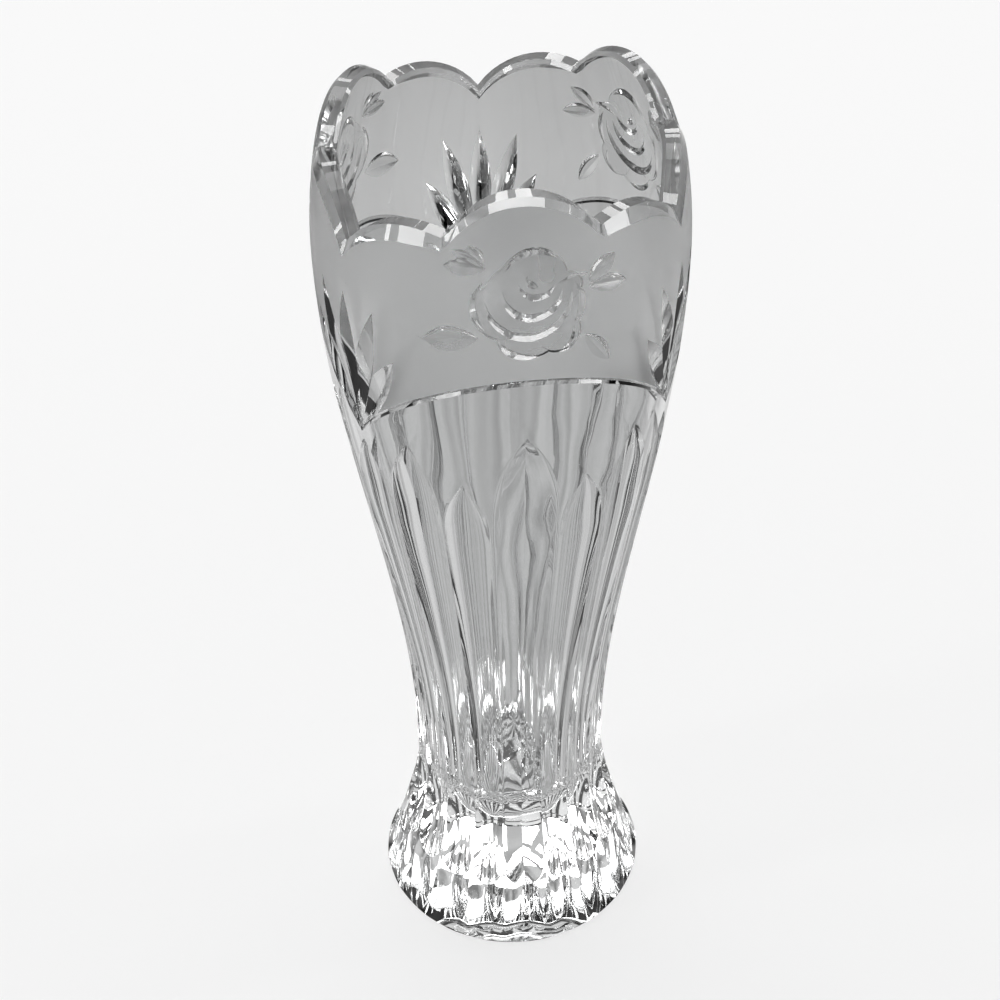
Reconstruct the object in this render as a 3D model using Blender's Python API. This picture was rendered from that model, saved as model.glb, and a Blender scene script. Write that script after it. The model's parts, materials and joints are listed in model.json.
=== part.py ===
"""Cut-glass bud vase: one solid piece of clear glass, 200 mm tall, standing on its flared foot.

The wall is turned about the Z axis from one profile and fluted, and its rim is scalloped. Leaf fans
and roses are then cut into its upper band, as they are on a wheel. The pattern repeats three times
round: a rose panel faces -Y, and a fan of leaves stands between each panel and the next. Metres,
+Z up, origin in the middle of the foot's underside.
"""

from collections import namedtuple
from math import cos, pi, radians, sin, sqrt

import bmesh
import bpy

MM = 0.001

# The turned wall
HEIGHT = 200 * MM  # to the top of a rose lobe
FOOT_RADIUS = 30 * MM
FOOT_BEVEL = 1 * MM
FLARE_TOP = 36 * MM  # where the foot's flare runs out into the waist
FLARE_POWER = 1.5  # over 1 makes the flare hollow
WAIST_RADIUS = 20.8 * MM
SWELL_START = 46 * MM  # where the waist begins to widen
SHOULDER_HEIGHT = 172 * MM
SHOULDER_RADIUS = 34.9 * MM
MOUTH_RADIUS = 31.2 * MM

# The bore
BORE_FLOOR = 23 * MM
BORE_FLOOR_DEPTH = 16 * MM  # height of its round bottom
BORE_RADIUS = 15 * MM
RIM_WALL = 4.2 * MM

# The panels, and the scalloped rim with three lobes over each
PANELS = 3
PANEL_ANGLE = 2 * pi / PANELS
ROSE_LOBE_RADIUS = 15.2 * MM
SIDE_LOBE_DROP = 6.6 * MM  # below the top of a rose lobe
SIDE_LOBE_RADIUS = 16.6 * MM
SIDE_LOBE_ANGLE = radians(34)  # from the middle of the panel to the middle of the lobe
RIM_CHAMFER = 0.8 * MM

# The flutes, hollow grooves that meet in sharp ridges and end above in pointed arches. Below their
# round lower ends slightly hollow facets fade out towards the edge of the foot. Depths are shares of
# half the flute's width. The higher an arch's power, the more its sides swell.
FLUTE_FOOT = 14.5 * MM  # height of their round lower ends
FLUTE_FOOT_LENGTH = 5 * MM
FLUTE_DEPTH = 0.32
FOOT_FLUTE_DEPTH = 0.75  # towards the foot, where they are cut deeper
FOOT_FACET_DEPTH = 0.22
FLUTE_END = 0.6  # under 1 keeps a flute deep until it closes
ARCH_START = 122 * MM  # where the flutes begin to close
ROSE_FLUTE_ANGLE = radians(12)  # half the width of the flute below a rose, cut to a V
ROSE_FLUTE_TIP = 152 * MM
ROSE_ARCH_POWER = 3.1
FIRST_FLUTE_ANGLE = radians(8.75)
FIRST_FLUTE_TIP = 139.5 * MM
FIRST_ARCH_POWER = 2.5
SECOND_FLUTE_ANGLE = radians(10)
SECOND_FLUTE_TIP = 146.5 * MM
SECOND_ARCH_POWER = 3.2
FAN_FLUTE_GAP = 2.5 * MM  # from its tip up to the foot of the fan
FAN_ARCH_POWER = 2.2

# The band: the groove along its lower edge, and the fans between the panels
BAND_MIDDLE = 165 * MM  # height of its lower edge below a rose
BAND_SIDE = 144 * MM  # and between two panels
BAND_GROOVE_WIDTH = 1.3 * MM
BAND_GROOVE_DEPTH = 0.35 * MM
FAN_TALL_LEAF = 32 * MM
FAN_SHORT_LEAF = 25 * MM
FAN_INNER_LEAN = radians(14)
FAN_OUTER_LEAN = radians(28)
FAN_LEAF_WIDTH = 4.6 * MM
FAN_LEAF_DEPTH = 1.9 * MM

# The roses, one in the band in the middle of each panel. A petal is a curved cut along part of a
# circle, from start to end in degrees clockwise from upright. The bottom of a cut leans to the left of
# its way, from -1 to 1. Places are across from the middle of the panel and up from the rose's foot.
ROSE_DROP = 30 * MM  # from the top of the rim to the rose's foot
Petal = namedtuple("Petal", "across up radius start end width depth lean")
ROSE_PETALS = [
    Petal(1.5 * MM, 15.6 * MM, 5.2 * MM, -78, 84, 2.4 * MM, 1.2 * MM, 0.6),
    Petal(2.0 * MM, 15.9 * MM, 2.5 * MM, -21, -160, 1.2 * MM, 0.8 * MM, -0.5),
    Petal(2.0 * MM, 15.7 * MM, 3.4 * MM, -66, -258, 1.6 * MM, 1.0 * MM, -0.5),
    Petal(1.2 * MM, 13.4 * MM, 5.0 * MM, -52, -270, 1.7 * MM, 1.1 * MM, -0.5),
    Petal(0.8 * MM, 12.2 * MM, 7.5 * MM, -66, -286, 1.9 * MM, 1.2 * MM, -0.5),
    Petal(-1.5 * MM, 10.9 * MM, 7.5 * MM, -52, -138, 1.5 * MM, 1.0 * MM, -0.6),
    Petal(1.8 * MM, 10.4 * MM, 7.9 * MM, 56, 132, 1.5 * MM, 1.0 * MM, 0.6),
    Petal(0.6 * MM, 6.9 * MM, 6.0 * MM, -112, -196, 1.4 * MM, 0.9 * MM, -0.5),
    Petal(5.0 * MM, 4.4 * MM, 3.2 * MM, 52, 178, 1.3 * MM, 0.9 * MM, 0.5),
]
Leaf = namedtuple("Leaf", "across up tip_across tip_up width depth lean")
ROSE_LEAVES = [
    Leaf(-8.2 * MM, 4.8 * MM, -18.4 * MM, 3.2 * MM, 4.7 * MM, 1.1 * MM, -0.45),
    Leaf(-6.6 * MM, 18.2 * MM, -14.0 * MM, 18.2 * MM, 2.3 * MM, 0.8 * MM, -0.4),
    Leaf(-6.7 * MM, 18.7 * MM, -12.6 * MM, 21.2 * MM, 2.0 * MM, 0.8 * MM, -0.2),
    Leaf(10.8 * MM, 12.8 * MM, 18.8 * MM, 11.4 * MM, 2.6 * MM, 0.9 * MM, 0.3),
    Leaf(11.0 * MM, 13.4 * MM, 16.4 * MM, 17.4 * MM, 3.2 * MM, 1.0 * MM, 0.4),
    Leaf(10.2 * MM, 3.6 * MM, 15.3 * MM, -3.8 * MM, 2.7 * MM, 1.0 * MM, 0.3),
]

CUTTER_LIFT = 0.4 * MM  # how far a cutter's back stands out of the glass
END_LIFT = 0.1  # how far its ends do, as a share of its depth
SPANDREL_STEPS = 5  # columns of faces between two flutes
FAN_LEAF_STEPS = 6
ROSE_LEAF_STEPS = 4
PETAL_STEP = 32  # degrees along a petal
PETAL_LEAST_STEPS = 4
WELD = 0.002 * MM

Flute = namedtuple("Flute", "middle half_angle tip arch_power roundness")
Point = namedtuple("Point", "radius angle z")


def smooth(t):
    return t * t * (3 - 2 * t)


def foot_share(z):
    """1 at the foot's underside, falling to 0 at the top of its flare."""
    return max(0.0, 1 - z / FLARE_TOP)


def outer_radius(z):
    """The outside before anything is cut into it."""
    if z < SWELL_START:
        return WAIST_RADIUS + (FOOT_RADIUS - WAIST_RADIUS) * foot_share(z) ** FLARE_POWER
    if z < SHOULDER_HEIGHT:
        swell = smooth((z - SWELL_START) / (SHOULDER_HEIGHT - SWELL_START))
        return WAIST_RADIUS + (SHOULDER_RADIUS - WAIST_RADIUS) * swell
    close = (z - SHOULDER_HEIGHT) / (HEIGHT - SHOULDER_HEIGHT)
    return SHOULDER_RADIUS - (SHOULDER_RADIUS - MOUTH_RADIUS) * close**2


def bore_radius(z):
    """The inside above its round floor."""
    if z > SHOULDER_HEIGHT:
        return outer_radius(z) - RIM_WALL
    bore_start = BORE_FLOOR + BORE_FLOOR_DEPTH
    swell = smooth((z - bore_start) / (SHOULDER_HEIGHT - bore_start))
    return BORE_RADIUS + (SHOULDER_RADIUS - RIM_WALL - BORE_RADIUS) * swell


def rim_height(angle):
    """The highest of the lobes at this angle round the vase."""
    from_middle = (angle + PANEL_ANGLE / 2) % PANEL_ANGLE - PANEL_ANGLE / 2
    height = 0
    for lobe_angle in (-SIDE_LOBE_ANGLE, 0, SIDE_LOBE_ANGLE):
        top = HEIGHT if lobe_angle == 0 else HEIGHT - SIDE_LOBE_DROP
        lobe_radius = ROSE_LOBE_RADIUS if lobe_angle == 0 else SIDE_LOBE_RADIUS
        across = (from_middle - lobe_angle) * MOUTH_RADIUS
        if abs(across) < lobe_radius:
            height = max(height, top - lobe_radius + sqrt(lobe_radius**2 - across**2))
    return height


def band_height(angle):
    """The band's lower edge, a low arch over each panel."""
    from_middle = (angle + PANEL_ANGLE / 2) % PANEL_ANGLE - PANEL_ANGLE / 2
    return BAND_MIDDLE - (BAND_MIDDLE - BAND_SIDE) * (from_middle / (PANEL_ANGLE / 2)) ** 2


def between(low, high, steps):
    """Evenly spaced values, both ends included."""
    return [low + (high - low) * i / steps for i in range(steps + 1)]


def on_wall(point):
    """A point's place: its angle is counted to the right from the panel that faces -Y."""
    return (point.radius * sin(point.angle), -point.radius * cos(point.angle), point.z)


def flute_ring():
    """The flutes in order round the vase, each panel's own and the one below the fan beside it."""
    first_middle = ROSE_FLUTE_ANGLE + FIRST_FLUTE_ANGLE
    second_middle = first_middle + FIRST_FLUTE_ANGLE + SECOND_FLUTE_ANGLE
    fan_middle = PANEL_ANGLE / 2
    fan_angle = fan_middle - second_middle - SECOND_FLUTE_ANGLE
    rose = Flute(0, ROSE_FLUTE_ANGLE, ROSE_FLUTE_TIP, ROSE_ARCH_POWER, 1)
    first = Flute(first_middle, FIRST_FLUTE_ANGLE, FIRST_FLUTE_TIP, FIRST_ARCH_POWER, 2)
    second = Flute(second_middle, SECOND_FLUTE_ANGLE, SECOND_FLUTE_TIP, SECOND_ARCH_POWER, 2)
    fan = Flute(fan_middle, fan_angle, BAND_SIDE - FAN_FLUTE_GAP, FAN_ARCH_POWER, 2)
    ring = []
    for panel in range(PANELS):
        start = panel * PANEL_ANGLE
        for flute in (rose, first, second, fan):
            ring.append(flute._replace(middle=start + flute.middle))
        for flute in (second, first):
            ring.append(flute._replace(middle=start + PANEL_ANGLE - flute.middle))
    return ring


def openings(flute):
    """Heights from the foot's bevel to the flute's tip, each with how far the flute is open there."""
    rows = [(z, 0) for z in between(FOOT_BEVEL, FLUTE_FOOT, 3)]
    for t in (0.06, 0.25, 0.6, 1):
        rows.append((FLUTE_FOOT + t * FLUTE_FOOT_LENGTH, sqrt(1 - (1 - t) ** 2)))
    for z in between(FLUTE_FOOT + FLUTE_FOOT_LENGTH, FLARE_TOP, 3)[1:]:
        rows.append((z, 1))
    for z in between(SWELL_START, ARCH_START, 6):
        rows.append((z, 1))
    for t in (0.3, 0.55, 0.75, 0.9, 1):
        rows.append((ARCH_START + t * (flute.tip - ARCH_START), 1 - t**flute.arch_power))
    return rows


def facet_depth(flute, angle, z):
    """The depth of the hollow facet below a flute, none at the ridges beside it."""
    side = min(1.0, abs(angle - flute.middle) / flute.half_angle)
    share = FOOT_FACET_DEPTH * foot_share(z) * min(1.0, z / FLUTE_FOOT)
    return share * outer_radius(z) * flute.half_angle * (1 - side**2)


def fluted_column(flute, side):
    """Up the wall from the foot to the flute's tip. Side is -1 and 1 at the ridges, 0 in the middle."""
    column = []
    for z, opening in openings(flute):
        angle = flute.middle + side * opening * flute.half_angle
        surface = outer_radius(z) - facet_depth(flute, angle, z)
        share = FLUTE_DEPTH + (FOOT_FLUTE_DEPTH - FLUTE_DEPTH) * foot_share(z)
        full_depth = share * surface * flute.half_angle
        depth = full_depth * opening**FLUTE_END * (1 - abs(side) ** flute.roundness)
        column.append(Point(surface - depth, angle, z))
    return column


def spandrel_column(flute, following, share):
    """Between the edges of two neighbouring flutes, up to their tips."""
    column = []
    for low, high in zip(fluted_column(flute, 1), fluted_column(following, -1)):
        z = low.z + share * (high.z - low.z)
        angle = low.angle + share * (high.angle - low.angle)
        facets = facet_depth(flute, angle, z) + facet_depth(following, angle, z)
        column.append(Point(outer_radius(z) - facets, angle, z))
    return column


def upper_column(start, angle):
    """On from a flute's tip over the band's edge and the rim, then down the bore to its floor."""
    edge = band_height(angle)
    rim = rim_height(angle)
    half_groove = BAND_GROOVE_WIDTH / 2
    column = []
    for share in (1 / 3, 2 / 3, 1):
        z = start.z + share * (edge - half_groove - start.z)
        column.append(Point(outer_radius(z), start.angle + share * (angle - start.angle), z))
    column.append(Point(outer_radius(edge) - BAND_GROOVE_DEPTH, angle, edge))
    for z in between(edge + half_groove, rim - RIM_CHAMFER, 4):
        column.append(Point(outer_radius(z), angle, z))
    outside = outer_radius(rim)
    column.append(Point(outside - RIM_CHAMFER, angle, rim))
    column.append(Point(outside - RIM_WALL + RIM_CHAMFER, angle, rim))
    bore_start = BORE_FLOOR + BORE_FLOOR_DEPTH
    down = between(rim - RIM_CHAMFER, SHOULDER_HEIGHT, 2) + between(SHOULDER_HEIGHT, bore_start, 5)[1:]
    for z in down:
        column.append(Point(bore_radius(z), angle, z))
    for turn in between(pi / 2, 0, 3)[1:]:
        radius = BORE_RADIUS * sin(turn)
        column.append(Point(radius, angle, bore_start - BORE_FLOOR_DEPTH * cos(turn)))
    return column


def wall_columns():
    """Columns of points round the vase, each from the middle of the foot to the bore's floor."""
    flutes = flute_ring()
    even_step = 2 * pi / len(flutes)
    columns = []
    for i, flute in enumerate(flutes):
        sides = between(-1, 1, 4)
        lower_parts = [(fluted_column(flute, side), i * even_step) for side in sides]
        following = flutes[(i + 1) % len(flutes)]
        if i + 1 == len(flutes):
            following = following._replace(middle=2 * pi)
        for share in between(0, 1, SPANDREL_STEPS)[1:-1]:
            lower_parts.append((spandrel_column(flute, following, share), (i + share) * even_step))
        for lower, even_angle in lower_parts:
            foot = [Point(0, 0, 0), Point(FOOT_RADIUS - FOOT_BEVEL, lower[0].angle, 0)]
            columns.append(foot + lower + upper_column(lower[-1], even_angle))
    return columns


def crystal():
    material = bpy.data.materials.new("clear_crystal")
    material.use_nodes = True
    shader = material.node_tree.nodes["Principled BSDF"]
    shader.inputs["Base Color"].default_value = (0.86, 0.87, 0.87, 1)
    shader.inputs["Metallic"].default_value = 0
    shader.inputs["Roughness"].default_value = 0.03
    shader.inputs["Transmission Weight"].default_value = 1
    shader.inputs["IOR"].default_value = 1.54
    return material


def skin(name, rows, hoop):
    """An object of faces between rows of equally many points, facing out. A hoop's ends meet."""
    count = len(rows[0])
    vertices = [on_wall(point) for row in rows for point in row]
    faces = []
    for row in range(len(rows) if hoop else len(rows) - 1):
        here = row * count
        there = (row + 1) % len(rows) * count
        for i in range(count - 1 if hoop else count):
            j = (i + 1) % count
            faces.append((here + i, here + j, there + j, there + i))
    if not hoop:
        faces.append(tuple(range(count)))
        faces.append(tuple(range(len(vertices) - count, len(vertices))))
    mesh = bpy.data.meshes.new(name)
    mesh.from_pydata(vertices, [], faces)
    shape = bmesh.new()
    shape.from_mesh(mesh)
    bmesh.ops.remove_doubles(shape, verts=shape.verts, dist=WELD)
    bmesh.ops.recalc_face_normals(shape, faces=shape.faces)
    shape.to_mesh(mesh)
    shape.free()
    made = bpy.data.objects.new(name, mesh)
    bpy.context.scene.collection.objects.link(made)
    return made


def fluted_vase():
    vase = skin("vase_body", wall_columns(), hoop=True)
    vase.data.shade_smooth()
    vase.data.set_sharp_from_angle(angle=radians(20))
    vase.data.materials.append(crystal())
    return vase


def groove_cutter(name, path, width, depth, lean=0):
    """A V groove along a path of (angle, z) points, narrow and shallow towards both ends."""
    rings = []
    for i, (angle, z) in enumerate(path):
        t = 2 * i / (len(path) - 1) - 1
        opening = 1 - (1 + END_LIFT) * t * t
        before = path[max(i - 1, 0)]
        after = path[min(i + 1, len(path) - 1)]
        surface = outer_radius(z)
        along = (after[0] - before[0]) * surface
        up = after[1] - before[1]
        left_across = -up / sqrt(along**2 + up**2)
        left_up = along / sqrt(along**2 + up**2)
        flare = CUTTER_LIFT / depth  # by which its back is wider than the groove
        ring = []
        for side, lift in (
            (lean * opening, -depth * opening),
            (opening + (1 - lean) * flare, CUTTER_LIFT),
            (-opening - (1 + lean) * flare, CUTTER_LIFT),
        ):
            reach = side * width / 2
            height = z + reach * left_up
            ring.append(Point(outer_radius(height) + lift, angle + reach * left_across / surface, height))
        rings.append(ring)
    cutter = skin(name, rings, hoop=False)
    cutter.hide_render = True
    cutter.display_type = "WIRE"
    return cutter


def fan_leaf_cutter(name, foot, lean_angle, length):
    """A straight leaf from its foot, an (angle, z) point, leaning to the right of upright."""
    angle, z = foot
    radius = outer_radius(z + length / 2 * cos(lean_angle))
    path = []
    for along in between(0, length, FAN_LEAF_STEPS):
        path.append((angle + along * sin(lean_angle) / radius, z + along * cos(lean_angle)))
    return groove_cutter(name, path, FAN_LEAF_WIDTH, FAN_LEAF_DEPTH)


def fan_cutters():
    cutters = []
    leaves = [(0, FAN_TALL_LEAF)]
    for side in (-1, 1):
        leaves.append((side * FAN_INNER_LEAN, FAN_TALL_LEAF))
        leaves.append((side * FAN_OUTER_LEAN, FAN_SHORT_LEAF))
    for panel in range(PANELS):
        foot = ((panel + 0.5) * PANEL_ANGLE, BAND_SIDE)
        for leaf, (lean_angle, length) in enumerate(leaves):
            name = f"fan_{panel + 1}_leaf_cutter_{leaf + 1}"
            cutters.append(fan_leaf_cutter(name, foot, lean_angle, length))
    return cutters


def rose_point(panel, across, up):
    """The (angle, z) point at a place in the rose of this panel."""
    z = HEIGHT - ROSE_DROP + up
    return (panel * PANEL_ANGLE + across / outer_radius(z), z)


def petal_path(panel, petal):
    steps = max(PETAL_LEAST_STEPS, round(abs(petal.end - petal.start) / PETAL_STEP))
    path = []
    for degrees in between(petal.start, petal.end, steps):
        across = petal.across + petal.radius * sin(radians(degrees))
        path.append(rose_point(panel, across, petal.up + petal.radius * cos(radians(degrees))))
    return path


def leaf_path(panel, leaf):
    across = between(leaf.across, leaf.tip_across, ROSE_LEAF_STEPS)
    up = between(leaf.up, leaf.tip_up, ROSE_LEAF_STEPS)
    return [rose_point(panel, *place) for place in zip(across, up)]


def rose_cutters():
    cutters = []
    for panel in range(PANELS):
        for i, petal in enumerate(ROSE_PETALS):
            name = f"rose_{panel + 1}_petal_cutter_{i + 1}"
            path = petal_path(panel, petal)
            cutters.append(groove_cutter(name, path, petal.width, petal.depth, petal.lean))
        for i, leaf in enumerate(ROSE_LEAVES):
            name = f"rose_{panel + 1}_leaf_cutter_{i + 1}"
            path = leaf_path(panel, leaf)
            cutters.append(groove_cutter(name, path, leaf.width, leaf.depth, leaf.lean))
    return cutters


def cut(body, name, cutters):
    """Takes a group of cutters away from the body."""
    group = bpy.data.collections.new(f"{name}_cutters")
    bpy.context.scene.collection.children.link(group)
    for cutter in cutters:
        bpy.context.scene.collection.objects.unlink(cutter)
        group.objects.link(cutter)
    step = body.modifiers.new(name, "BOOLEAN")
    step.operation = "DIFFERENCE"
    step.solver = "EXACT"
    step.operand_type = "COLLECTION"
    step.collection = group


for start_object in list(bpy.data.objects):
    bpy.data.objects.remove(start_object)

vase_body = fluted_vase()
cut(vase_body, "wheel_cuts", fan_cutters() + rose_cutters())
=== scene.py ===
"""Looks of the cut-glass bud vase: its glass, its cuts and the table that it stands on."""

import json
from collections import namedtuple
from math import cos, exp, hypot, pi, radians, sin, sqrt

import bmesh
import bpy
from mathutils import Matrix, Vector, noise

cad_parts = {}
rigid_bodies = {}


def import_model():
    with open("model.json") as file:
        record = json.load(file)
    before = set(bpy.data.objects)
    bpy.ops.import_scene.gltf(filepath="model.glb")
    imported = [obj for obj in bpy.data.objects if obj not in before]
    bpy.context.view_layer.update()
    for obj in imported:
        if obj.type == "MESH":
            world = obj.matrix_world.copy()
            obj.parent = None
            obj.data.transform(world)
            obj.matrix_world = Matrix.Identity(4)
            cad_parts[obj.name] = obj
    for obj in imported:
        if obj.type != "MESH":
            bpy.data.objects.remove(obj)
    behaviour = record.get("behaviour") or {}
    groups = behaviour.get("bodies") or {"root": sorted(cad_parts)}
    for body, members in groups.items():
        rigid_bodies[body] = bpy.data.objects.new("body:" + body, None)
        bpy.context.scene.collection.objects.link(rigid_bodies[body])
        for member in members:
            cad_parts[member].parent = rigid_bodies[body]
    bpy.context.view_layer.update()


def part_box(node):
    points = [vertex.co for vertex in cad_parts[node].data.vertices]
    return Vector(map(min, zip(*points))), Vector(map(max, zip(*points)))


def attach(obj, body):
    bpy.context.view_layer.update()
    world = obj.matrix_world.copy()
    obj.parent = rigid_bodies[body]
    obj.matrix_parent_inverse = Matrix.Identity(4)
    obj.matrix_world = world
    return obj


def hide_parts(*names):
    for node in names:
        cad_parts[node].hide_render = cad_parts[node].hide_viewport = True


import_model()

MM = 0.001

# The glass. Clear lead crystal, fire-polished inside and wheel-polished in its cuts, ground to an even
# satin on the outside of the band, and left half polished in the petals and leaves.
GLASS_IOR = 1.54
Finish = namedtuple("Finish", "colour roughness roughness_spread grain_size grain_height")
# Each finish's colour is painted shade: a grey tint of the one clear crystal that stands in for the
# darker room it shows. The tint is darker in the half polished finish and lighter in the satin.
POLISHED = Finish((0.72, 0.725, 0.725, 1), 0.0, 0.012, 6 * MM, 0.004 * MM)
HALF_POLISHED = Finish((0.66, 0.665, 0.665, 1), 0.24, 0.06, 1.5 * MM, 0.01 * MM)
SATIN = Finish((0.9, 0.905, 0.905, 1), 0.4, 0.1, 0.5 * MM, 0.012 * MM)


def grinding_marks():
    """A group for all the glasses: how rough the surface is from place to place, and its fine grain."""
    group = bpy.data.node_groups.new("grinding_marks", "ShaderNodeTree")
    for name in ("Roughness", "Roughness Spread", "Grain Scale", "Grain Height"):
        group.interface.new_socket(name=name, in_out="INPUT", socket_type="NodeSocketFloat")
    for name in ("Roughness", "Height"):
        group.interface.new_socket(name=name, in_out="OUTPUT", socket_type="NodeSocketFloat")
    nodes = group.nodes
    links = group.links
    given = nodes.new("NodeGroupInput")
    result = nodes.new("NodeGroupOutput")
    place = nodes.new("ShaderNodeTexCoord")
    clouds = nodes.new("ShaderNodeTexNoise")
    clouds.inputs["Scale"].default_value = 90
    clouds.inputs["Detail"].default_value = 2
    uneven = nodes.new("ShaderNodeMath")
    uneven.operation = "MULTIPLY_ADD"
    grain = nodes.new("ShaderNodeTexNoise")
    grain.inputs["Detail"].default_value = 1
    height = nodes.new("ShaderNodeMath")
    height.operation = "MULTIPLY"
    links.new(place.outputs["Object"], clouds.inputs["Vector"])
    links.new(place.outputs["Object"], grain.inputs["Vector"])
    links.new(given.outputs["Grain Scale"], grain.inputs["Scale"])
    links.new(clouds.outputs["Fac"], uneven.inputs[0])
    links.new(given.outputs["Roughness Spread"], uneven.inputs[1])
    links.new(given.outputs["Roughness"], uneven.inputs[2])
    links.new(grain.outputs["Fac"], height.inputs[0])
    links.new(given.outputs["Grain Height"], height.inputs[1])
    links.new(uneven.outputs[0], result.inputs["Roughness"])
    links.new(height.outputs[0], result.inputs["Height"])
    return group


def glass(name, finish, marks):
    material = bpy.data.materials.new(name)
    material.use_nodes = True
    nodes = material.node_tree.nodes
    links = material.node_tree.links
    shader = nodes["Principled BSDF"]
    # Painted shade: the finish's grey tint.
    shader.inputs["Base Color"].default_value = finish.colour
    shader.inputs["Metallic"].default_value = 0
    shader.inputs["IOR"].default_value = GLASS_IOR
    shader.inputs["Transmission Weight"].default_value = 1
    surface = nodes.new("ShaderNodeGroup")
    surface.node_tree = marks
    surface.inputs["Roughness"].default_value = finish.roughness
    surface.inputs["Roughness Spread"].default_value = finish.roughness_spread
    surface.inputs["Grain Scale"].default_value = 1 / finish.grain_size
    surface.inputs["Grain Height"].default_value = finish.grain_height
    bump = nodes.new("ShaderNodeBump")
    bump.inputs["Distance"].default_value = 1
    links.new(surface.outputs["Roughness"], shader.inputs["Roughness"])
    links.new(surface.outputs["Height"], bump.inputs["Height"])
    links.new(bump.outputs["Normal"], shader.inputs["Normal"])
    return material


marks = grinding_marks()
polished_crystal = glass("polished_crystal", POLISHED, marks)
half_polished_crystal = glass("half_polished_crystal", HALF_POLISHED, marks)
satin_crystal = glass("satin_crystal", SATIN, marks)

# The wall. One gather of glass pressed to a thick-walled tube with a flared solid foot. Its outside
# and its bore are turned about the same axis, and the wall is 4 mm thick at the rim.
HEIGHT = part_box("vase_body")[1][2]
FOOT_RADIUS = 30 * MM
FOOT_BEVEL = 1 * MM
FLARE_TOP = 36 * MM
FLARE_POWER = 1.5
WAIST_RADIUS = 20.8 * MM
SWELL_START = 46 * MM
SHOULDER_HEIGHT = 172 * MM
SHOULDER_RADIUS = 34.9 * MM
MOUTH_RADIUS = 31.2 * MM
BORE_FLOOR = 23 * MM
BORE_FLOOR_DEPTH = 16 * MM
BORE_RADIUS = 15 * MM
RIM_WALL = 4.2 * MM
BORE_START = BORE_FLOOR + BORE_FLOOR_DEPTH


def outer_radius(z):
    if z < SWELL_START:
        flare = max(0.0, 1 - z / FLARE_TOP) ** FLARE_POWER
        return WAIST_RADIUS + (FOOT_RADIUS - WAIST_RADIUS) * flare
    if z < SHOULDER_HEIGHT:
        t = (z - SWELL_START) / (SHOULDER_HEIGHT - SWELL_START)
        return WAIST_RADIUS + (SHOULDER_RADIUS - WAIST_RADIUS) * t * t * (3 - 2 * t)
    close = (z - SHOULDER_HEIGHT) / (HEIGHT - SHOULDER_HEIGHT)
    return SHOULDER_RADIUS - (SHOULDER_RADIUS - MOUTH_RADIUS) * close**2


def bore_radius(z):
    if z > SHOULDER_HEIGHT:
        return outer_radius(z) - RIM_WALL
    t = (z - BORE_START) / (SHOULDER_HEIGHT - BORE_START)
    return BORE_RADIUS + (SHOULDER_RADIUS - RIM_WALL - BORE_RADIUS) * t * t * (3 - 2 * t)


def between(low, high, steps):
    return [low + (high - low) * i / steps for i in range(steps + 1)]


# The bore. The plunger that pressed it left it a little uneven, most of all in the swell below the
# band, and drew fine upright lines in its lower part.
BORE_WAVE = 0.2 * MM
BORE_WAVE_LENGTH = 8 * MM
BORE_WAVE_LEAST = 0.3  # share of the wave that is left far from its crest
BORE_WAVE_CREST = 140 * MM
BORE_WAVE_REACH = 22 * MM
PLUNGER_LINE = 0.05 * MM
PLUNGER_LINE_WIDTH = 2.2 * MM
PLUNGER_LINE_LENGTH = 26 * MM
PLUNGER_LINES_TOP = 95 * MM


def bore_unevenness(angle, z):
    radius = bore_radius(max(z, BORE_START))
    place = Vector((radius * sin(angle), -radius * cos(angle), z))
    from_crest = (z - BORE_WAVE_CREST) / BORE_WAVE_REACH
    wave = BORE_WAVE * (BORE_WAVE_LEAST + exp(-from_crest**2)) * noise.noise(place / BORE_WAVE_LENGTH)
    across = place.xy / PLUNGER_LINE_WIDTH
    lines = noise.noise(Vector((across.x, across.y, z / PLUNGER_LINE_LENGTH)))
    return wave + PLUNGER_LINE * lines * max(0, 1 - z / PLUNGER_LINES_TOP)


# The rim. Three scallops over each panel, ground to arcs that meet in notches, with both edges
# bevelled and polished.
PANELS = 3
PANEL_ANGLE = 2 * pi / PANELS
ROSE_LOBE_RADIUS = 15.2 * MM
SIDE_LOBE_DROP = 6.6 * MM
SIDE_LOBE_RADIUS = 16.6 * MM
SIDE_LOBE_ANGLE = radians(34)
RIM_BEVEL = 0.8 * MM
RIM_BEVEL_DROP = 1.2 * MM
SIDE_BEVEL_DROP = 2.6 * MM
RIM_UNEVENNESS = 0.3 * MM
RIM_WAVES = 2.5  # noise cells across the radius of the rim


def from_panel_middle(angle):
    return (angle + PANEL_ANGLE / 2) % PANEL_ANGLE - PANEL_ANGLE / 2


def rim_height(angle):
    height = 0
    for lobe_angle in (-SIDE_LOBE_ANGLE, 0, SIDE_LOBE_ANGLE):
        top = HEIGHT if lobe_angle == 0 else HEIGHT - SIDE_LOBE_DROP
        lobe_radius = ROSE_LOBE_RADIUS if lobe_angle == 0 else SIDE_LOBE_RADIUS
        across = (from_panel_middle(angle) - lobe_angle) * MOUTH_RADIUS
        if abs(across) < lobe_radius:
            height = max(height, top - lobe_radius + sqrt(lobe_radius**2 - across**2))
    return height + RIM_UNEVENNESS * noise.noise(Vector((sin(angle), -cos(angle), 0)) * RIM_WAVES)


def bevel_drop(angle):
    """How far down the outside the rim's bevel reaches, further on the side lobes."""
    from_rose = min(1, abs(from_panel_middle(angle)) / SIDE_LOBE_ANGLE)
    return RIM_BEVEL_DROP + (SIDE_BEVEL_DROP - RIM_BEVEL_DROP) * from_rose**2


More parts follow.
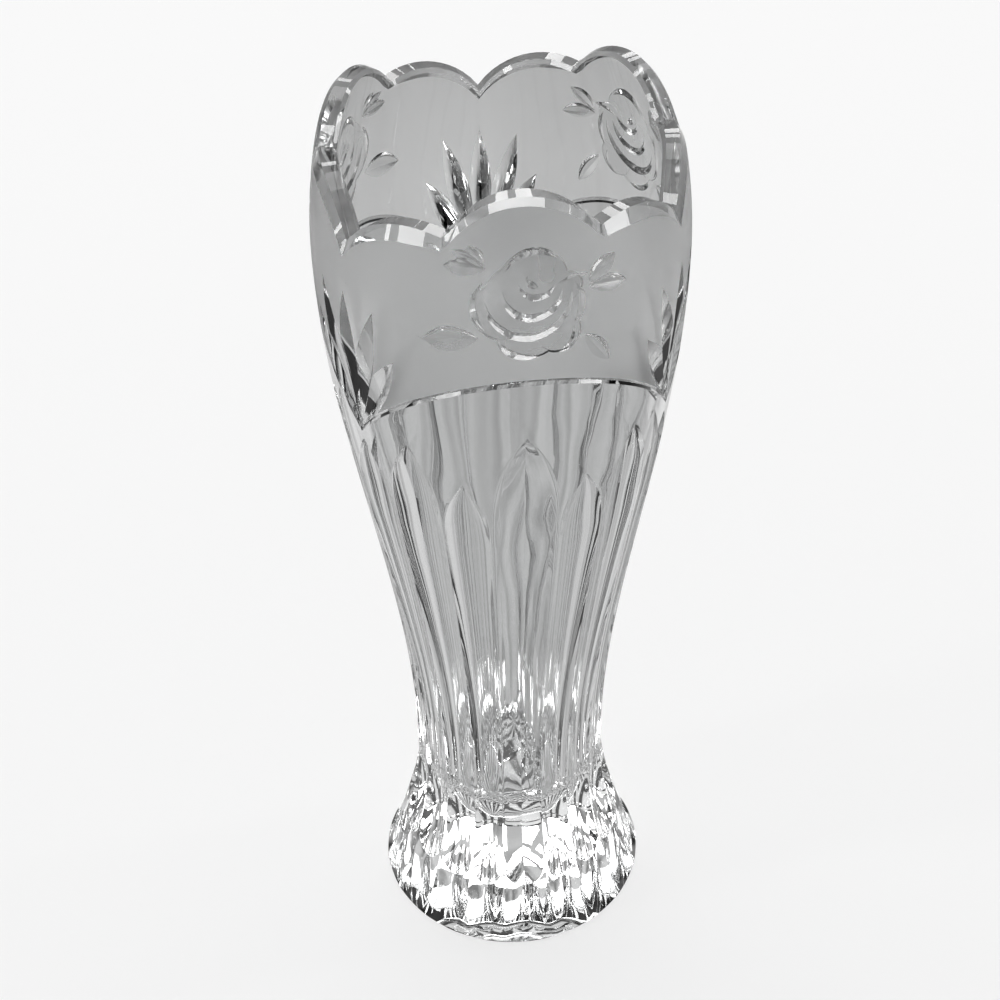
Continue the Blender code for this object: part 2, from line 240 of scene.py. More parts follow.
# The flutes. Eighteen hollow cuts from the foot to the band, round at the bottom and pointed at the
# top, which meet in sharp ridges. The one below each rose is cut to a V.
FLUTE_FOOT = 14.5 * MM
FLUTE_FOOT_LENGTH = 6 * MM
ARCH_START = 122 * MM
FLUTE_DEPTH = 0.32
FOOT_FLUTE_DEPTH = 0.75
FOOT_FACET = 0.22
ARCH_EDGE = 0.6  # under 1 keeps a flute deep until its arch closes
ARCH_PLUNGE = 0.5  # by how much deeper than its flute an arch is cut
RUN_OUT_LENGTH = 13 * MM  # over which a flute grows to its full depth above the foot
RIDGE_BLUNTNESS = 26  # the lower, the rounder the ridges
BAND_MIDDLE = 165 * MM
BAND_SIDE = 144 * MM
FAN_FLUTE_GAP = 2.5 * MM
COLUMNS_ACROSS_FLUTE = 14
COLUMNS_BETWEEN_FLUTES = 8
FOOT_STEPS = 5
ROUND_END_STEPS = 12
FLARE_STEPS = 16
FLUTE_STEPS = 24
ARCH_STEPS = 20
ARCH_CROWDING = 1.3  # over 1 sets the steps of an arch closer towards its tip

Flute = namedtuple("Flute", "middle half_angle tip arch_power roundness")
Point = namedtuple("Point", "radius angle z")


def flute_ring():
    rose = Flute(0, radians(12), 152 * MM, 3.1, 1)
    first = Flute(radians(20.75), radians(8.75), 139.5 * MM, 2.5, 2)
    second = Flute(radians(39.5), radians(10), 146.5 * MM, 3.2, 2)
    fan = Flute(radians(60), radians(10.5), BAND_SIDE - FAN_FLUTE_GAP, 2.2, 2)
    ring = []
    for panel in range(PANELS):
        start = panel * PANEL_ANGLE
        for flute in (rose, first, second, fan):
            ring.append(flute._replace(middle=start + flute.middle))
        for flute in (second, first):
            ring.append(flute._replace(middle=start + PANEL_ANGLE - flute.middle))
    return ring


def openings(flute):
    """Heights up a flute, each with the shares of its full width and full depth there."""
    rows = [(z, 0, 0) for z in between(FOOT_BEVEL, FLUTE_FOOT, FOOT_STEPS)]
    for turn in between(0, pi / 2, ROUND_END_STEPS)[1:]:
        z = FLUTE_FOOT + (1 - cos(turn)) * FLUTE_FOOT_LENGTH
        rows.append((z, sin(turn), run_out(z)))
    for z in between(FLUTE_FOOT + FLUTE_FOOT_LENGTH, SWELL_START, FLARE_STEPS)[1:]:
        rows.append((z, 1, run_out(z)))
    for z in between(SWELL_START, ARCH_START, FLUTE_STEPS)[1:]:
        rows.append((z, 1, 1))
    for t in between(0, 1, ARCH_STEPS)[1:]:
        along = 1 - (1 - t) ** ARCH_CROWDING
        opening = 1 - along**flute.arch_power
        deepness = opening**ARCH_EDGE * (1 + ARCH_PLUNGE * along)
        rows.append((ARCH_START + along * (flute.tip - ARCH_START), opening, deepness))
    return rows


def run_out(z):
    return sin(pi / 2 * min(1, (z - FLUTE_FOOT) / RUN_OUT_LENGTH))


def across_flute(side, roundness):
    """The share of its depth that a flute has at a side from -1 to 1, level at the blunt ridges."""
    blunt = roundness / (RIDGE_BLUNTNESS - roundness)
    return 1 - (1 + blunt) * abs(side) ** roundness + blunt * abs(side) ** RIDGE_BLUNTNESS


def foot_facet(flute, angle, z):
    """How deep the facet below a flute is, between ridges that fade out towards the foot's edge."""
    share = max(0, 1 - z / FLARE_TOP) * min(1, z / FLUTE_FOOT)
    side = min(1, abs(angle - flute.middle) / flute.half_angle)
    return FOOT_FACET * share * outer_radius(z) * flute.half_angle * (1 - side**2)


def fluted_column(flute, side):
    column = []
    for z, opening, deepness in openings(flute):
        at_foot = max(0, 1 - z / FLARE_TOP)
        full_depth = FLUTE_DEPTH + (FOOT_FLUTE_DEPTH - FLUTE_DEPTH) * at_foot
        angle = flute.middle + side * opening * flute.half_angle
        surface = outer_radius(z) - foot_facet(flute, angle, z)
        depth = full_depth * surface * flute.half_angle * deepness * across_flute(side, flute.roundness)
        column.append(Point(surface - depth, angle, z))
    return column


def spandrel_column(flute, following, share):
    column = []
    for low, high in zip(fluted_column(flute, 1), fluted_column(following, -1)):
        z = low.z + share * (high.z - low.z)
        angle = low.angle + share * (high.angle - low.angle)
        facet = foot_facet(flute, angle, z) + foot_facet(following, angle, z)
        column.append(Point(outer_radius(z) - facet, angle, z))
    return column


# The band. Its outside is ground satin above a fine groove, which runs in a low arch over each panel.
BAND_GROOVE_WIDTH = 1.3 * MM
BAND_GROOVE_DEPTH = 0.35 * MM
TIP_STEPS = 6  # from a flute's tip up to the groove
BAND_STEPS = 20
MOUTH_STEPS = 10
BORE_STEPS = 24
BORE_FLOOR_STEPS = 10


def band_height(angle):
    side = from_panel_middle(angle) / (PANEL_ANGLE / 2)
    return BAND_MIDDLE - (BAND_MIDDLE - BAND_SIDE) * side**2


def upper_column(start, angle):
    """From a flute's tip over the band's groove and the band to the rim's outer bevel."""
    edge = band_height(angle)
    half_groove = BAND_GROOVE_WIDTH / 2
    column = []
    for share in between(0, 1, TIP_STEPS)[1:]:
        z = start.z + share * (edge - half_groove - start.z)
        column.append(Point(outer_radius(z), start.angle + share * (angle - start.angle), z))
    column.append(Point(outer_radius(edge) - BAND_GROOVE_DEPTH, angle, edge))
    for z in between(edge + half_groove, rim_height(angle) - bevel_drop(angle), BAND_STEPS):
        column.append(Point(outer_radius(z), angle, z))
    return column


def rim_and_bore(angle):
    rim = rim_height(angle)
    outside = outer_radius(rim)
    column = [Point(outside - RIM_BEVEL, angle, rim), Point(outside - RIM_WALL + RIM_BEVEL, angle, rim)]
    mouth = between(rim - RIM_BEVEL, SHOULDER_HEIGHT, MOUTH_STEPS)
    for z in mouth + between(SHOULDER_HEIGHT, BORE_START, BORE_STEPS)[1:]:
        column.append(Point(bore_radius(z) + bore_unevenness(angle, z), angle, z))
    for turn in between(pi / 2, 0, BORE_FLOOR_STEPS)[1:]:
        z = BORE_START - BORE_FLOOR_DEPTH * cos(turn)
        column.append(Point((BORE_RADIUS + bore_unevenness(angle, z)) * sin(turn), angle, z))
    return column


def wall_columns():
    """Columns of points round the vase, and the row where the satin band starts and where it ends."""
    flutes = flute_ring()
    even_step = 2 * pi / len(flutes)
    columns = []
    for i, flute in enumerate(flutes):
        lower_parts = []
        for turn in between(-pi / 2, pi / 2, COLUMNS_ACROSS_FLUTE):
            lower_parts.append((fluted_column(flute, sin(turn)), i * even_step))
        following = flutes[(i + 1) % len(flutes)]
        if i + 1 == len(flutes):
            following = following._replace(middle=2 * pi)
        for share in between(0, 1, COLUMNS_BETWEEN_FLUTES)[1:-1]:
            lower_parts.append((spandrel_column(flute, following, share), (i + share) * even_step))
        for lower, even_angle in lower_parts:
            foot = [Point(0, 0, 0), Point(FOOT_RADIUS - FOOT_BEVEL, lower[0].angle, 0)]
            upper = upper_column(lower[-1], even_angle)
            columns.append(foot + lower + upper + rim_and_bore(even_angle))
    satin_end = len(foot + lower + upper) - 1
    return columns, satin_end - BAND_STEPS, satin_end


WELD = 0.001 * MM
RIDGE_ANGLE = radians(18)  # between faces, from which an edge stays sharp


def wall_mesh():
    columns, satin_start, satin_end = wall_columns()
    rows = len(columns[0])
    vertices = [(p.radius * sin(p.angle), -p.radius * cos(p.angle), p.z) for c in columns for p in c]
    faces = []
    for column in range(len(columns)):
        here = column * rows
        there = (column + 1) % len(columns) * rows
        for row in range(rows - 1):
            faces.append((here + row, there + row, there + row + 1, here + row + 1))
    mesh = bpy.data.meshes.new("vase_glass")
    mesh.from_pydata(vertices, [], faces)
    mesh.materials.append(polished_crystal)
    mesh.materials.append(satin_crystal)
    for index, face in enumerate(mesh.polygons):
        face.material_index = int(satin_start <= index % (rows - 1) < satin_end)
    shape = bmesh.new()
    shape.from_mesh(mesh)
    bmesh.ops.remove_doubles(shape, verts=shape.verts, dist=WELD)
    bmesh.ops.recalc_face_normals(shape, faces=shape.faces)
    shape.to_mesh(mesh)
    shape.free()
    return mesh


bpy.ops.object.select_all(action="DESELECT")
vase = bpy.data.objects.new("vase_glass", wall_mesh())
bpy.context.scene.collection.objects.link(vase)
vase.data.shade_smooth()
vase.data.set_sharp_from_angle(angle=RIDGE_ANGLE)

# The fans. Between each panel and the next, five long leaves rise from one point on the band's edge.
# Each is a V cut made by the edge of a wheel, so it is widest in its middle and polished.
FAN_TALL_LEAF = 32 * MM
FAN_SHORT_LEAF = 25 * MM
FAN_INNER_LEAN = radians(14)
FAN_OUTER_LEAN = radians(28)
FAN_LEAF_WIDTH = 4.6 * MM
FAN_LEAF_DEPTH = 1.9 * MM
FAN_LIP = 1.1
LEAF_BELLY = 0.56  # how far up a leaf it is widest
CUT_STEPS = 24
LIP_POINTS = (0, 0.3, 0.65, 1)  # from the bottom of a cut to its lip
CUTTER_LIFT = 0.4 * MM
RUN_OUT = 0.04  # how far a cut's ends stand out of the glass, as a share of its depth
CUT_ANGLE = radians(16)  # between faces, from which an edge of a cut stays sharp


def wheel_cutter(name, path, width, depth, lean, belly, lip, finish=polished_crystal):
    """A V along (angle, z) points. Its bottom may lean to the left of its way, from -1 to 1.

    The lip, from 1, is how much its edges are rounded over.
    """
    shape = bmesh.new()
    rings = []
    for i, (angle, z) in enumerate(path):
        along = i / (len(path) - 1)
        off_belly = (along - belly) / (belly if along < belly else 1 - belly)
        opening = 1 - (1 + RUN_OUT) * off_belly**2
        before = path[max(i - 1, 0)]
        after = path[min(i + 1, len(path) - 1)]
        step_s = (after[0] - before[0]) * outer_radius(z)
        step_z = after[1] - before[1]
        step = hypot(step_s, step_z)
        left_s, left_z = -step_z / step, step_s / step
        flare = CUTTER_LIFT / depth
        left = [(lean + t * (1 - lean), -depth * (1 - t) ** lip) for t in LIP_POINTS]
        right = [(lean - t * (1 + lean), -depth * (1 - t) ** lip) for t in LIP_POINTS]
        section = [(across * opening, lift * opening) for across, lift in left + right[:0:-1]]
        section[len(left):len(left)] = [
            (opening + (1 - lean) * flare, CUTTER_LIFT),
            (-opening - (1 + lean) * flare, CUTTER_LIFT),
        ]
        ring = []
        for across, lift in section:
            point_z = z + across * width / 2 * left_z
            point_angle = angle + across * width / 2 * left_s / outer_radius(z)
            radius = outer_radius(point_z) + lift
            ring.append(shape.verts.new((radius * sin(point_angle), -radius * cos(point_angle), point_z)))
        rings.append(ring)
    for ring, following in zip(rings, rings[1:]):
        for i, point in enumerate(ring):
            j = (i + 1) % len(ring)
            shape.faces.new((point, ring[j], following[j], following[i]))
    shape.faces.new(rings[0])
    shape.faces.new(rings[-1])
    bmesh.ops.recalc_face_normals(shape, faces=shape.faces)
    return cutter_object(name, shape, finish)


def cutter_object(name, shape, finish):
    for face in shape.faces:
        face.smooth = True
    mesh = bpy.data.meshes.new(name)
    shape.to_mesh(mesh)
    shape.free()
    mesh.materials.append(finish)
    cutter = bpy.data.objects.new(name, mesh)
    cutters.objects.link(cutter)
    return cutter


def fan_leaf(name, foot, lean_angle, length):
    angle, z = foot
    radius = outer_radius(z + length / 2 * cos(lean_angle))
    path = []
    for along in between(0, length, CUT_STEPS):
        path.append((angle + along * sin(lean_angle) / radius, z + along * cos(lean_angle)))
    return wheel_cutter(name, path, FAN_LEAF_WIDTH, FAN_LEAF_DEPTH, 0, LEAF_BELLY, FAN_LIP)


cutters = bpy.data.collections.new("cutters")
bpy.context.scene.collection.children.link(cutters)
for panel in range(PANELS):
    fan_foot = ((panel + 0.5) * PANEL_ANGLE, BAND_SIDE)
    fan_leaf("middle_leaf", fan_foot, 0, FAN_TALL_LEAF)
    for way in (-1, 1):
        fan_leaf("inner_leaf", fan_foot, way * FAN_INNER_LEAN, FAN_TALL_LEAF)
        fan_leaf("outer_leaf", fan_foot, way * FAN_OUTER_LEAN, FAN_SHORT_LEAF)

# The roses. One is carved into the band in the middle of each panel: a shallow half polished hollow in
# the outline of the petals, and the petals drawn in it with polished curved cuts.
ROSE_HOLLOWS = (  # across, up from the band's foot at 170 mm, radius and depth in mm
    (1.3, 15.5, 5.9, 0.30),
    (0.6, 11.4, 8.3, 0.24),
    (-3.6, 10.2, 5.7, 0.34),
    (4.6, 9.8, 5.2, 0.34),
    (0.5, 6.6, 6.0, 0.30),
    (5.6, 5.0, 3.9, 0.38),
    (6.9, 13.6, 2.9, 0.40),
)
ROSE_FOOT = 170 * MM
Petal = namedtuple("Petal", "across up radius start end width lean")
ROSE_PETALS = (
    Petal(1.5, 15.6, 5.3, -80, 62, 1.9, -0.2),
    Petal(2.0, 15.9, 1.9, -30, -200, 1.2, 0.1),
    Petal(2.0, 15.7, 3.4, -80, -272, 2.0, 0.1),
    Petal(1.2, 13.6, 5.2, -62, -290, 2.3, 0.1),
    Petal(0.5, 12.2, 7.6, -72, -294, 2.4, 0.1),
    Petal(-1.5, 10.9, 7.5, -48, -140, 1.6, 0.1),
    Petal(1.8, 10.4, 7.9, 50, 132, 1.6, -0.1),
    Petal(0.6, 6.9, 6.2, -106, -200, 1.5, 0.1),
    Petal(5.0, 4.4, 3.4, 48, 180, 1.4, -0.1),
    Petal(-1.1, 0.2, 5.0, -44, 44, 1.4, 0.0),
    Petal(4.9, 11.0, 4.7, 156, 200, 1.3, 0.0),
    Petal(-3.0, 10.2, 6.4, 22, 58, 1.4, 0.0),
    Petal(9.6, 7.2, 8.2, -36, 10, 1.4, 0.0),
)
PETAL_STEEPNESS = 1.1  # the depth of a cut against half its width
PETAL_LIP = 1.1
PETAL_BELLY = 0.5
HOLLOW_FLARE = 0.5  # how far a hollow's edge leans out against its height
HOLLOW_RINGS = 6
HOLLOW_SPOKES = 48


def rose_point(middle, across, up):
    z = ROSE_FOOT + up * MM
    return (middle + across * MM / outer_radius(z), z)


def hollow_cutter(name, middle, across, up, radius, depth):
    """A round shallow dish that follows the wall, with a steep edge."""
    shape = bmesh.new()
    layers = []
    for lift in (-depth * MM, CUTTER_LIFT):
        rings = []
        for ring in range(HOLLOW_RINGS + 1):
            reach = radius * ring / HOLLOW_RINGS
            if ring == HOLLOW_RINGS and lift > 0:
                reach += HOLLOW_FLARE * (depth + CUTTER_LIFT / MM)
            row = []
            for spoke in range(HOLLOW_SPOKES if ring else 1):
                clock = 2 * pi * spoke / HOLLOW_SPOKES
                angle, z = rose_point(middle, across + reach * sin(clock), up + reach * cos(clock))
                wall = outer_radius(z) + lift
                row.append(shape.verts.new((wall * sin(angle), -wall * cos(angle), z)))
            rings.append(row)
        layers.append(rings)
    for rings in layers:
        for spoke in range(HOLLOW_SPOKES):
            after = (spoke + 1) % HOLLOW_SPOKES
            shape.faces.new((rings[0][0], rings[1][spoke], rings[1][after]))
            for inner, outer in zip(rings[1:], rings[2:]):
                shape.faces.new((inner[spoke], outer[spoke], outer[after], inner[after]))
    low, high = layers[0][-1], layers[1][-1]
    for spoke in range(HOLLOW_SPOKES):
        after = (spoke + 1) % HOLLOW_SPOKES
        shape.faces.new((low[spoke], high[spoke], high[after], low[after]))
    bmesh.ops.recalc_face_normals(shape, faces=shape.faces)
    return cutter_object(name, shape, half_polished_crystal)


def petal_cutter(name, middle, petal):
    path = []
    for degrees in between(petal.start, petal.end, CUT_STEPS):
        clock = radians(degrees)
        across = petal.across + petal.radius * sin(clock)
        path.append(rose_point(middle, across, petal.up + petal.radius * cos(clock)))
    width = petal.width * MM
    depth = PETAL_STEEPNESS * width / 2
    return wheel_cutter(name, path, width, depth, petal.lean, PETAL_BELLY, PETAL_LIP)


for panel in range(PANELS):
    for hollow in ROSE_HOLLOWS:
        hollow_cutter("rose_hollow", panel * PANEL_ANGLE, *hollow)
    for petal in ROSE_PETALS:
        petal_cutter("petal", panel * PANEL_ANGLE, petal)

# The rose's leaves. Broad shallow cuts beside the rose, left half polished, with a narrow polished cut
# along the upper edge of each.
Leaf = namedtuple("Leaf", "across up tip_across tip_up width depth edge")
ROSE_LEAVES = (
    Leaf(-8.2, 4.8, -18.4, 3.2, 4.7, 0.5, 1.0),
    Leaf(-6.6, 18.2, -14.0, 18.2, 2.9, 0.4, 1.0),
    Leaf(-6.7, 18.7, -12.6, 21.2, 1.8, 0.3, 0.8),
    Leaf(-6.9, 19.2, -9.8, 22.2, 1.8, 0.3, 0.8),
    Leaf(10.8, 12.8, 18.8, 11.4, 2.8, 0.4, 1.0),
    Leaf(11.0, 13.4, 16.4, 17.4, 3.2, 0.4, 1.0),
    Leaf(10.2, 3.6, 15.3, -3.8, 2.7, 0.4, 0.9),
)
LEAF_LIP = 1.3
LEAF_EDGE_STEEPNESS = 1.2

for panel in range(PANELS):
    middle = panel * PANEL_ANGLE
    for leaf in ROSE_LEAVES:
        length = hypot(leaf.tip_across - leaf.across, leaf.tip_up - leaf.up)
        rise_across = (leaf.tip_up - leaf.up) / length
        rise_up = (leaf.tip_across - leaf.across) / length
        if rise_up < 0:
            rise_across, rise_up = -rise_across, -rise_up
        vein = []
        edge = []
        for along in between(0, 1, CUT_STEPS):
            across = leaf.across + along * (leaf.tip_across - leaf.across)
            up = leaf.up + along * (leaf.tip_up - leaf.up)
            bulge = leaf.width / 2 * (1 - (2 * along - 1) ** 2)
            vein.append(rose_point(middle, across, up))
            edge.append(rose_point(middle, across - bulge * rise_across, up + bulge * rise_up))
        width, depth = leaf.width * MM, leaf.depth * MM
        wheel_cutter("rose_leaf", vein, width, depth, 0, LEAF_BELLY, LEAF_LIP, half_polished_crystal)
        width = leaf.edge * MM
        wheel_cutter("leaf_edge", edge, width, LEAF_EDGE_STEEPNESS * width / 2, 0, PETAL_BELLY, PETAL_LIP)

SPLINTER_FACES = 60  # the most faces that a loose splinter has


def clear_splinters(mesh):
    """Takes away what the cuts left loose where two of them meet."""
    shape = bmesh.new()
    shape.from_mesh(mesh)
    seen = set()
    for start in list(shape.faces):
        if start in seen:
            continue
        seen.add(start)
        shell = [start]
        for face in shell:
            for edge in face.edges:
                for neighbour in edge.link_faces:
                    if neighbour not in seen:
                        seen.add(neighbour)
                        shell.append(neighbour)
        if len(shell) <= SPLINTER_FACES:
            bmesh.ops.delete(shape, geom=shell, context="FACES")
    shape.to_mesh(mesh)
    shape.free()


bpy.ops.object.select_all(action="DESELECT")
bpy.context.view_layer.objects.active = vase
vase.select_set(True)
wheel_cuts = vase.modifiers.new("wheel_cuts", "BOOLEAN")
wheel_cuts.operation = "DIFFERENCE"
wheel_cuts.solver = "MANIFOLD"
wheel_cuts.operand_type = "COLLECTION"
wheel_cuts.collection = cutters
wheel_cuts.material_mode = "TRANSFER"
bpy.ops.object.modifier_apply(modifier=wheel_cuts.name)
for cutter in list(cutters.objects):
    bpy.data.objects.remove(cutter)
bpy.data.collections.remove(cutters)
clear_splinters(vase.data)
vase.data.set_sharp_from_angle(angle=CUT_ANGLE)

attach(vase, "root")
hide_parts("vase_body")

# The table: a pale matt sheet under the vase. Glossy and transmission rays from the glass see it as an
# emission
# with painted light and shade: painted darker away from the vase, painted with light and dark streaks
# round it, and painted with rays of caustic light under the foot, one for each of the eighteen flutes.
TABLE_WHITE = 0.896
# Painted shade: how dark the sheet is painted far from the vase, as the glass sees it.
FAR_PAINTED_SHADE = 0.3
AIR_FILM = 0.1 * MM  # between the ground foot and the sheet, so that the foot keeps its inner mirrors
bpy.ops.mesh.primitive_plane_add(size=6, location=(0, 0, -AIR_FILM))
table = bpy.context.object
table.name = "table"
sheet = bpy.data.materials.new("pale_sheet")
sheet.use_nodes = True
nodes = sheet.node_tree.nodes
links = sheet.node_tree.links
matt = nodes["Principled BSDF"]
matt.inputs["Base Color"].default_value = (0.9, 0.9, 0.9, 1)
matt.inputs["Roughness"].default_value = 0.9
matt.inputs["Specular IOR Level"].default_value = 0
ray = nodes.new("ShaderNodeLightPath")
seen_white = nodes.new("ShaderNodeEmission")
seen_white.inputs["Color"].default_value = (TABLE_WHITE, TABLE_WHITE, TABLE_WHITE, 1)
place = nodes.new("ShaderNodeTexCoord")
reach = nodes.new("ShaderNodeVectorMath")
reach.operation = "LENGTH"
# Painted shade: the sheet that the glass sees is painted darker away from the vase.
painted_falloff = nodes.new("ShaderNodeMapRange")
painted_falloff.interpolation_type = "SMOOTHSTEP"
painted_falloff.inputs["From Min"].default_value = 0.12
painted_falloff.inputs["From Max"].default_value = 1.1
painted_falloff.inputs["To Min"].default_value = TABLE_WHITE
painted_falloff.inputs["To Max"].default_value = FAR_PAINTED_SHADE
round_the_vase = nodes.new("ShaderNodeVectorMath")
round_the_vase.operation = "NORMALIZE"
# Painted light and shade: streaks that run out round the vase.
painted_streaks = nodes.new("ShaderNodeTexNoise")
painted_streaks.inputs["Scale"].default_value = 2.5
painted_streaks.inputs["Detail"].default_value = 1
painted_streak_light = nodes.new("ShaderNodeMapRange")
painted_streak_light.inputs["From Min"].default_value = 0.38
painted_streak_light.inputs["From Max"].default_value = 0.58
painted_streak_light.inputs["To Min"].default_value = 0.6
painted_streak_light.inputs["To Max"].default_value = 1.0
painted_room_light = nodes.new("ShaderNodeMath")
painted_room_light.operation = "MULTIPLY"
# Painted caustics: rays of light under the foot, one for each flute, wavering with noise. They fade out
# past the foot's edge.
sheet_place = nodes.new("ShaderNodeSeparateXYZ")
around = nodes.new("ShaderNodeMath")
around.operation = "ARCTAN2"
ray_count = nodes.new("ShaderNodeMath")
ray_count.operation = "MULTIPLY"
ray_count.inputs[1].default_value = len(flute_ring())
painted_caustic_rays = nodes.new("ShaderNodeMath")
painted_caustic_rays.operation = "SINE"
painted_caustic_noise = nodes.new("ShaderNodeTexNoise")
painted_caustic_noise.inputs["Scale"].default_value = 90
painted_caustic_noise.inputs["Detail"].default_value = 2
painted_caustic_wander = nodes.new("ShaderNodeMath")
painted_caustic_wander.operation = "MULTIPLY_ADD"
painted_caustic_wander.inputs[1].default_value = 3.5
painted_caustic_light = nodes.new("ShaderNodeMapRange")
painted_caustic_light.inputs["From Min"].default_value = 1.2
painted_caustic_light.inputs["From Max"].default_value = 1.9
painted_caustic_light.inputs["To Min"].default_value = 0.12
painted_caustic_light.inputs["To Max"].default_value = 1.3
painted_caustic_edge = nodes.new("ShaderNodeMapRange")
painted_caustic_edge.inputs["From Min"].default_value = 30 * MM
painted_caustic_edge.inputs["From Max"].default_value = 45 * MM
painted_foot_caustics = nodes.new("ShaderNodeMix")
painted_lit_sheet = nodes.new("ShaderNodeMath")
painted_lit_sheet.operation = "MULTIPLY"
# The emission that glossy and transmission rays see: the sheet's white with its painted falloff, streaks
# and caustics.
painted_light_in_glass = nodes.new("ShaderNodeEmission")
camera_mix = nodes.new("ShaderNodeMixShader")
camera_share = nodes.new("ShaderNodeMath")
camera_share.operation = "MULTIPLY"
camera_share.inputs[1].default_value = 0.8
glass_ray = nodes.new("ShaderNodeMath")
glass_ray.operation = "MAXIMUM"
glass_mix = nodes.new("ShaderNodeMixShader")
links.new(place.outputs["Object"], reach.inputs[0])
links.new(reach.outputs["Value"], painted_falloff.inputs["Value"])
links.new(place.outputs["Object"], round_the_vase.inputs[0])
links.new(round_the_vase.outputs["Vector"], painted_streaks.inputs["Vector"])
links.new(painted_streaks.outputs["Fac"], painted_streak_light.inputs["Value"])
links.new(painted_falloff.outputs["Result"], painted_room_light.inputs[0])
links.new(painted_streak_light.outputs["Result"], painted_room_light.inputs[1])
links.new(place.outputs["Object"], sheet_place.inputs[0])
links.new(sheet_place.outputs["X"], around.inputs[0])
links.new(sheet_place.outputs["Y"], around.inputs[1])
links.new(around.outputs[0], ray_count.inputs[0])
links.new(ray_count.outputs[0], painted_caustic_rays.inputs[0])
links.new(place.outputs["Object"], painted_caustic_noise.inputs["Vector"])
links.new(painted_caustic_noise.outputs["Fac"], painted_caustic_wander.inputs[0])
links.new(painted_caustic_rays.outputs[0], painted_caustic_wander.inputs[2])
links.new(painted_caustic_wander.outputs[0], painted_caustic_light.inputs["Value"])
links.new(reach.outputs["Value"], painted_caustic_edge.inputs["Value"])
links.new(painted_caustic_edge.outputs["Result"], painted_foot_caustics.inputs["Factor"])
links.new(painted_caustic_light.outputs["Result"], painted_foot_caustics.inputs["A"])
painted_foot_caustics.inputs["B"].default_value = 1
links.new(painted_room_light.outputs[0], painted_lit_sheet.inputs[0])
links.new(painted_foot_caustics.outputs["Result"], painted_lit_sheet.inputs[1])
links.new(painted_lit_sheet.outputs[0], painted_light_in_glass.inputs["Color"])
links.new(ray.outputs["Is Camera Ray"], camera_share.inputs[0])
links.new(camera_share.outputs[0], camera_mix.inputs["Fac"])
links.new(matt.outputs[0], camera_mix.inputs[1])
links.new(seen_white.outputs[0], camera_mix.inputs[2])
links.new(ray.outputs["Is Glossy Ray"], glass_ray.inputs[0])
links.new(ray.outputs["Is Transmission Ray"], glass_ray.inputs[1])
links.new(glass_ray.outputs[0], glass_mix.inputs["Fac"])
links.new(camera_mix.outputs[0], glass_mix.inputs[1])
links.new(painted_light_in_glass.outputs[0], glass_mix.inputs[2])
links.new(glass_mix.outputs[0], nodes["Material Output"].inputs["Surface"])
table.data.materials.append(sheet)

# The light. A soft lamp overhead, tall strips at the sides, six panes and a fanlight behind and three
# softboxes in front that don't light the table, in a room that is dark towards the horizon, so that
# the edges of the glass are drawn in grey.
world = bpy.data.worlds.new("studio")
bpy.context.scene.world = world
world.use_nodes = True
nodes = world.node_tree.nodes
links = world.node_tree.links
background = nodes["Background"]
direction = nodes.new("ShaderNodeTexCoord")
split = nodes.new("ShaderNodeSeparateXYZ")
room = nodes.new("ShaderNodeValToRGB")
room.color_ramp.elements[0].position = 0.1
room.color_ramp.elements[0].color = (0.05, 0.05, 0.05, 1)
room.color_ramp.elements[1].position = 0.9
room.color_ramp.elements[1].color = (0.6, 0.6, 0.6, 1)
camera_ray = nodes.new("ShaderNodeLightPath")
seen = nodes.new("ShaderNodeMix")
seen.data_type = "RGBA"
seen.inputs["B"].default_value = (TABLE_WHITE, TABLE_WHITE, TABLE_WHITE, 1)
links.new(direction.outputs["Generated"], split.inputs[0])
clutter = nodes.new("ShaderNodeTexNoise")
clutter.inputs["Scale"].default_value = 2.2
clutter.inputs["Detail"].default_value = 2
clutter_light = nodes.new("ShaderNodeMapRange")
clutter_light.inputs["From Min"].default_value = 0.42
clutter_light.inputs["From Max"].default_value = 0.56
clutter_light.inputs["To Min"].default_value = 0.2
clutter_light.inputs["To Max"].default_value = 1.6
room_light = nodes.new("ShaderNodeVectorMath")
room_light.operation = "SCALE"
links.new(direction.outputs["Generated"], clutter.inputs["Vector"])
links.new(clutter.outputs["Fac"], clutter_light.inputs["Value"])
links.new(split.outputs["Z"], room.inputs["Fac"])
links.new(room.outputs["Color"], room_light.inputs[0])
links.new(clutter_light.outputs["Result"], room_light.inputs["Scale"])
links.new(room_light.outputs[0], seen.inputs["A"])
links.new(camera_ray.outputs["Is Camera Ray"], seen.inputs["Factor"])
links.new(seen.outputs["Result"], background.inputs["Color"])


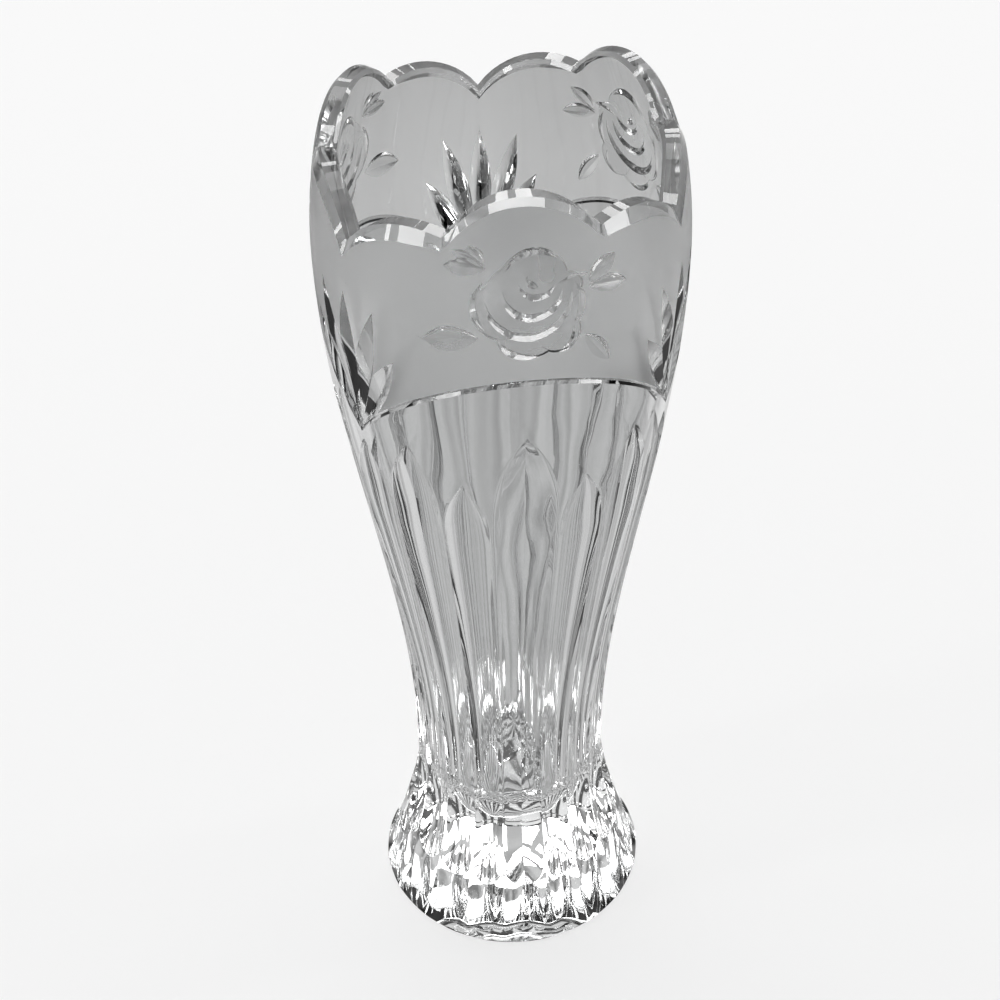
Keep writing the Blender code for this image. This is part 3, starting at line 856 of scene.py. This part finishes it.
def soft_lamp(name, place, aim, size_x, size_y, radiance):
    bpy.ops.object.light_add(type="AREA", location=place)
    lamp = bpy.context.object
    lamp.name = name
    lamp.data.shape = "RECTANGLE"
    lamp.data.size = size_x
    lamp.data.size_y = size_y
    lamp.data.energy = radiance * pi * size_x * size_y
    lamp.rotation_euler = (Vector(place) - Vector(aim)).to_track_quat("Z", "Y").to_euler()
    return lamp


soft_lamp("overhead", (0, 0.35, 1.2), (0, 0, 0), 0.9, 0.5, 2.2)
soft_lamp("left_strip", (-0.7, -0.1, 0.45), (0, 0, 0.1), 0.06, 0.6, 10)
soft_lamp("right_strip", (0.75, 0.1, 0.45), (0, 0, 0.1), 0.06, 0.6, 10)
for turn in between(radians(-56.25), radians(56.25), 5):
    pane = (0.8 * sin(turn), 0.8 * cos(turn), 0.66)
    soft_lamp("window_pane", pane, (0, 0, 0.015), 0.2, 0.15, 6)
soft_lamp("fanlight", (0, 0.8, 0.93), (0, 0, 0.1), 1.1, 0.13, 6)
front_lamps = [soft_lamp("front_softbox", (0, -0.8, 0.98), (0, 0, 0.18), 1.4, 0.5, 9)]
for side in (-1, 1):
    place = (0.8 * side, -0.45, 0.4)
    front_lamps.append(soft_lamp("front_side_softbox", place, (0, 0, 0.18), 0.35, 0.45, 8))
for lamp in front_lamps:
    lamp.visible_diffuse = False

# The camera, where the photo's was: above the rim, looking down at the vase.
CAMERA_DISTANCE = 311.4 * MM
CAMERA_HEIGHT = 377.8 * MM
CAMERA_PITCH = radians(40.84)
CAMERA_YAW = radians(-0.22)
CAMERA_ROLL = radians(-1.18)
PANEL_TURN = radians(6.8)  # how far the rose panel is turned from the camera
PHOTO_PIXELS = 1000
FOCAL_PIXELS = 2014.2

bpy.ops.object.camera_add()
camera = bpy.context.object
camera.data.sensor_width = 36
camera.data.lens = FOCAL_PIXELS / PHOTO_PIXELS * camera.data.sensor_width
camera.matrix_world = (
    Matrix.Rotation(-PANEL_TURN, 4, "Z")
    @ Matrix.Translation((0, -CAMERA_DISTANCE, CAMERA_HEIGHT))
    @ Matrix.Rotation(-CAMERA_YAW, 4, "Z")
    @ Matrix.Rotation(pi / 2 - CAMERA_PITCH, 4, "X")
    @ Matrix.Rotation(CAMERA_ROLL, 4, "Z")
)
bpy.context.scene.camera = camera
bpy.context.scene.view_settings.view_transform = "Standard"
